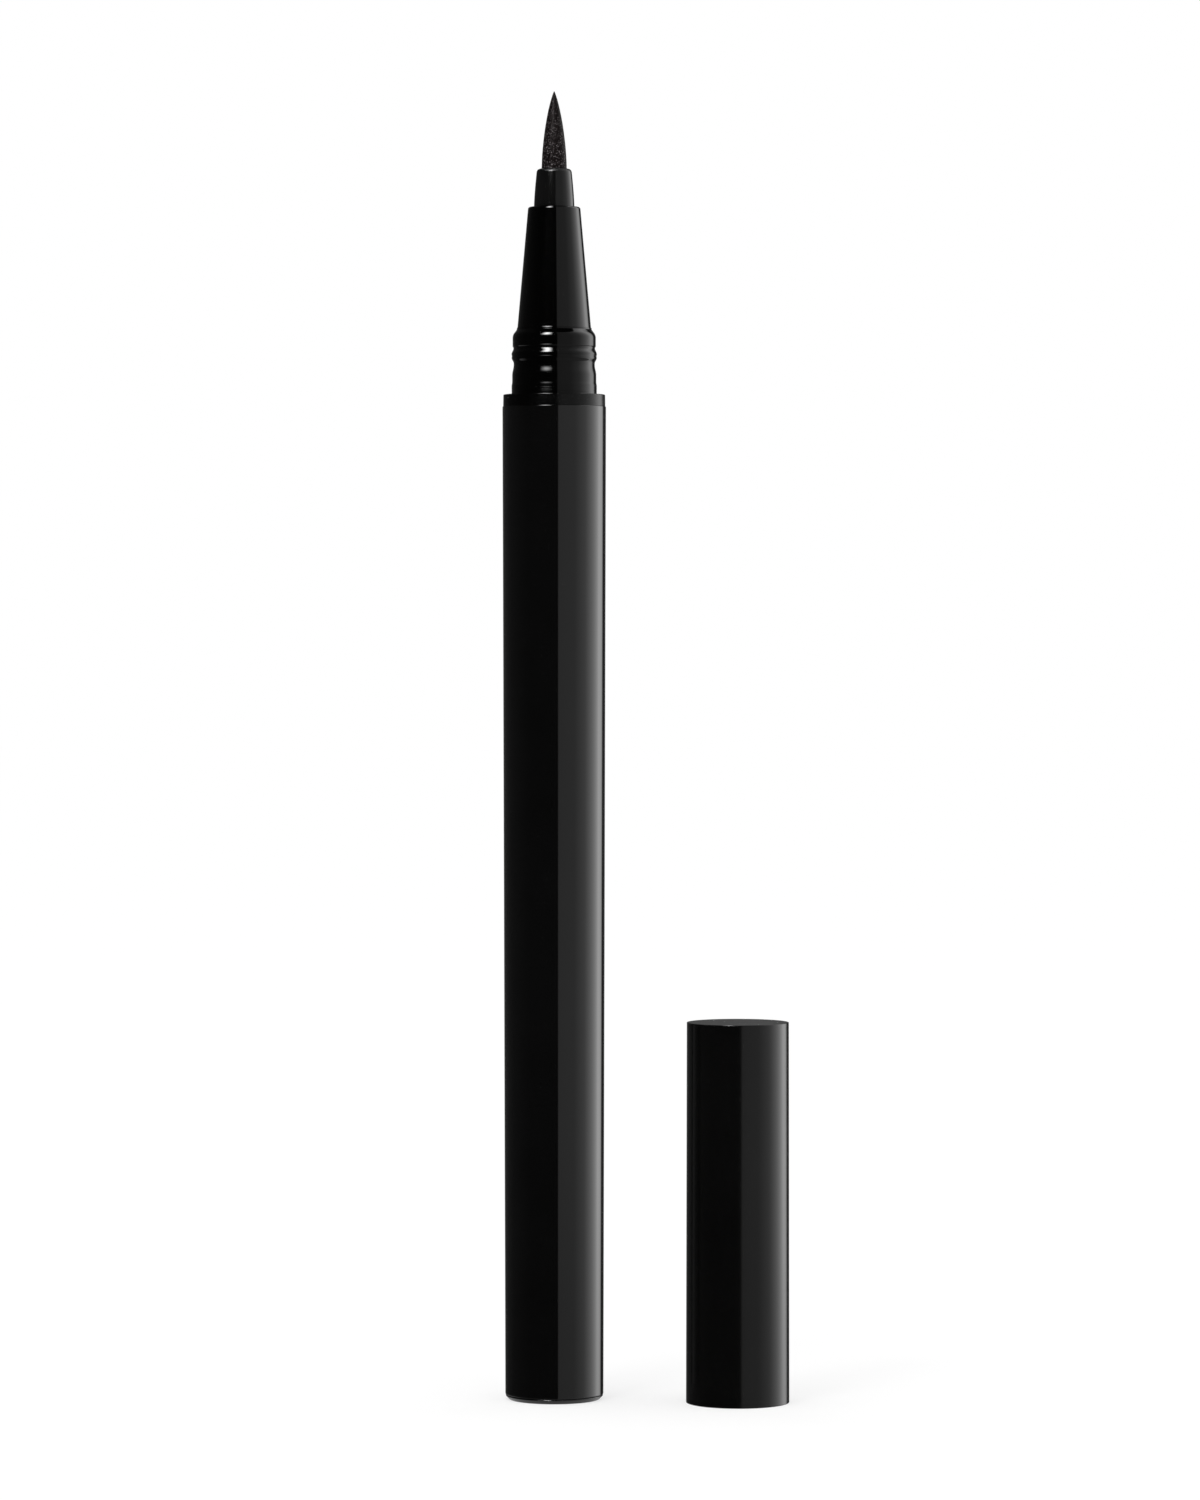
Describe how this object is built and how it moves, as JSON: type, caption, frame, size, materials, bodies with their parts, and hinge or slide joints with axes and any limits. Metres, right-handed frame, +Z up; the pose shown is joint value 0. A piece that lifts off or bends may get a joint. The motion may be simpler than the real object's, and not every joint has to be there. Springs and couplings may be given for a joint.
{
  "type": "pen-type liquid eyeliner",
  "caption": "Slim gloss black liquid eyeliner pen with a felt nib, standing uncapped, its sprung-seal cap beside it.",
  "frame": {"origin": "centre of the pen's flat base, on the surface that pen and cap stand on", "axes": "+Z up along the pen's axis towards the nib, +X from the pen towards the standing cap, -Y towards the viewer"},
  "size_m": [0.0286, 0.0131, 0.1308],
  "materials": {
    "barrel_plastic": "gloss black moulded plastic",
    "plug_plastic": "gloss black moulded plastic",
    "neck_plastic": "high gloss black moulded plastic",
    "cone_plastic": "high gloss black moulded plastic",
    "ferrule_plastic": "gloss black moulded plastic",
    "nib_felt": "black bonded felt, soaked with ink",
    "wick_fibre": "fibre rod, soaked with ink",
    "sponge": "white open foam",
    "collector_plastic": "natural white moulded plastic",
    "inner_cap_plastic": "natural white moulded plastic",
    "cap_plastic": "gloss black moulded plastic",
    "stainless_steel": "bright stainless steel"
  },
  "bodies": {
    "pen": {"barrel": "barrel_plastic", "tail_plug": "plug_plastic", "neck_sleeve": "neck_plastic", "front_cone": "cone_plastic", "nib_ferrule": "ferrule_plastic", "nib": "nib_felt", "feed_wick": "wick_fibre", "feed_tube": "stainless_steel", "overflow_sponge": "sponge", "ink_collector": "collector_plastic"},
    "cap": {"cap_shell": "cap_plastic", "inner_cap_retainer": "inner_cap_plastic", "cap_spring": "stainless_steel"},
    "inner_cap": {"inner_cap": "inner_cap_plastic"},
    "mixing_ball_1": {"mixing_ball_1": "stainless_steel"},
    "mixing_ball_2": {"mixing_ball_2": "stainless_steel"}
  },
  "joints": [
    {"name": "cap_lift", "type": "slide", "parent": "pen", "child": "cap", "axis": [0, 0, 1], "range_m": [0, 0.131]},
    {"name": "inner_cap_push", "type": "slide", "parent": "cap", "child": "inner_cap", "axis": [0, 0, 1], "range_m": [0, 0.0025], "stiffness_N_per_m": 200, "springref_m": -0.0015, "deforming": ["cap_spring"]},
    {"name": "mixing_ball_1_rattle", "type": "slide", "parent": "pen", "child": "mixing_ball_1", "axis": [0, 0, 1], "range_m": [0, 0.0636]},
    {"name": "mixing_ball_2_rattle", "type": "slide", "parent": "pen", "child": "mixing_ball_2", "axis": [0, 0, 1], "range_m": [0, 0.0636]}
  ]
}
